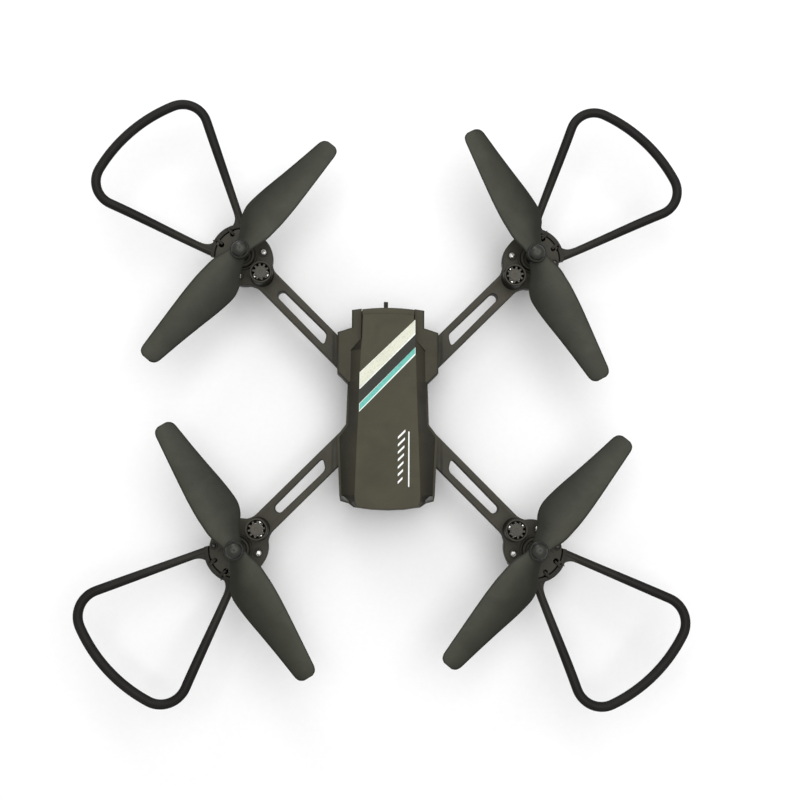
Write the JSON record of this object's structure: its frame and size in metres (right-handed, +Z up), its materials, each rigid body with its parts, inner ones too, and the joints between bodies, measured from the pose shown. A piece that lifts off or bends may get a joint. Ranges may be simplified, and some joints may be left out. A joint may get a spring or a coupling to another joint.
{
  "type": "toy quadcopter drone",
  "caption": "Small toy quadcopter: slotted arms, geared motors, propellers, clip-on blade guards, slide power switch and belly battery door.",
  "frame": {"origin": "on the floor, under the centre of the propeller axes", "axes": "+X towards the left side of the drone, -Y towards its nose, +Z up"},
  "size_m": [0.2958, 0.2958, 0.0408],
  "materials": {
    "satin_shell": "satin",
    "dark_plastic": "satin",
    "blade_plastic": "satin",
    "pod_cover_plastic": "satin",
    "steel": "brushed",
    "white_nylon": "matte",
    "green_board": "gloss",
    "battery_wrap": "gloss",
    "clear_lens": "clear",
    "lead_insulation": "gloss"
  },
  "bodies": {
    "airframe": {"arm_rear_right": "dark_plastic", "arm_rear_left": "dark_plastic", "arm_front_right": "dark_plastic", "arm_front_left": "dark_plastic", "pod_cover_rear_right": "pod_cover_plastic", "pod_cover_rear_left": "pod_cover_plastic", "pod_cover_front_right": "pod_cover_plastic", "pod_cover_front_left": "pod_cover_plastic", "guard_rear_right": "dark_plastic", "guard_rear_left": "dark_plastic", "guard_front_right": "dark_plastic", "guard_front_left": "dark_plastic", "motor_rear_right": "steel", "motor_rear_left": "steel", "motor_front_right": "steel", "motor_front_left": "steel", "motor_cap_rear_right": "pod_cover_plastic", "motor_cap_rear_left": "pod_cover_plastic", "motor_cap_front_right": "pod_cover_plastic", "motor_cap_front_left": "pod_cover_plastic", "motor_lead_rear_right": "lead_insulation", "motor_lead_rear_left": "lead_insulation", "motor_lead_front_right": "lead_insulation", "motor_lead_front_left": "lead_insulation", "pod_screw_rear_right": "steel", "pod_screw_rear_left": "steel", "pod_screw_front_right": "steel", "pod_screw_front_left": "steel", "top_cover": "satin_shell", "bottom_shell": "dark_plastic", "tail_panel": "satin_shell", "battery_pack": "battery_wrap", "circuit_board": "green_board", "switch_body": "steel", "headlight_left": "clear_lens", "headlight_right": "clear_lens"},
    "propeller_rear_right": {"propeller_rear_right": "blade_plastic", "spinner_cap_rear_right": "dark_plastic", "prop_shaft_rear_right": "steel", "spur_gear_rear_right": "white_nylon"},
    "motor_shaft_rear_right": {"pinion_rear_right": "steel"},
    "propeller_rear_left": {"propeller_rear_left": "blade_plastic", "spinner_cap_rear_left": "dark_plastic", "prop_shaft_rear_left": "steel", "spur_gear_rear_left": "white_nylon"},
    "motor_shaft_rear_left": {"pinion_rear_left": "steel"},
    "propeller_front_right": {"propeller_front_right": "blade_plastic", "spinner_cap_front_right": "dark_plastic", "prop_shaft_front_right": "steel", "spur_gear_front_right": "white_nylon"},
    "motor_shaft_front_right": {"pinion_front_right": "steel"},
    "propeller_front_left": {"propeller_front_left": "blade_plastic", "spinner_cap_front_left": "dark_plastic", "prop_shaft_front_left": "steel", "spur_gear_front_left": "white_nylon"},
    "motor_shaft_front_left": {"pinion_front_left": "steel"},
    "power_lever": {"switch_lever": "dark_plastic"},
    "belly_door": {"battery_door": "dark_plastic"}
  },
  "joints": [
    {"name": "prop_rear_right_spin", "type": "hinge", "parent": "airframe", "child": "propeller_rear_right", "pos_m": [-0.0726, 0.0726, 0.03], "axis": [0, 0, 1], "continuous": true},
    {"name": "motor_rear_right_spin", "type": "hinge", "parent": "airframe", "child": "motor_shaft_rear_right", "pos_m": [-0.06284, 0.06284, 0.015], "axis": [0, 0, 1], "continuous": true},
    {"name": "prop_rear_left_spin", "type": "hinge", "parent": "airframe", "child": "propeller_rear_left", "pos_m": [0.0726, 0.0726, 0.03], "axis": [0, 0, 1], "continuous": true},
    {"name": "motor_rear_left_spin", "type": "hinge", "parent": "airframe", "child": "motor_shaft_rear_left", "pos_m": [0.06284, 0.06284, 0.015], "axis": [0, 0, 1], "continuous": true},
    {"name": "prop_front_right_spin", "type": "hinge", "parent": "airframe", "child": "propeller_front_right", "pos_m": [-0.0726, -0.0726, 0.03], "axis": [0, 0, 1], "continuous": true},
    {"name": "motor_front_right_spin", "type": "hinge", "parent": "airframe", "child": "motor_shaft_front_right", "pos_m": [-0.06284, -0.06284, 0.015], "axis": [0, 0, 1], "continuous": true},
    {"name": "prop_front_left_spin", "type": "hinge", "parent": "airframe", "child": "propeller_front_left", "pos_m": [0.0726, -0.0726, 0.03], "axis": [0, 0, 1], "continuous": true},
    {"name": "motor_front_left_spin", "type": "hinge", "parent": "airframe", "child": "motor_shaft_front_left", "pos_m": [0.06284, -0.06284, 0.015], "axis": [0, 0, 1], "continuous": true},
    {"name": "power_switch", "type": "slide", "parent": "airframe", "child": "power_lever", "axis": [1, 0, 0], "range_m": [0, 0.0022]},
    {"name": "battery_door_slide", "type": "slide", "parent": "airframe", "child": "belly_door", "axis": [0, 1, 0], "range_m": [0, 0.012]}
  ],
  "couplings": [
    {"joint": "motor_rear_right_spin", "follows": "prop_rear_right_spin", "ratio": -6.6667},
    {"joint": "motor_rear_left_spin", "follows": "prop_rear_left_spin", "ratio": -6.6667},
    {"joint": "motor_front_right_spin", "follows": "prop_front_right_spin", "ratio": -6.6667},
    {"joint": "motor_front_left_spin", "follows": "prop_front_left_spin", "ratio": -6.6667}
  ]
}
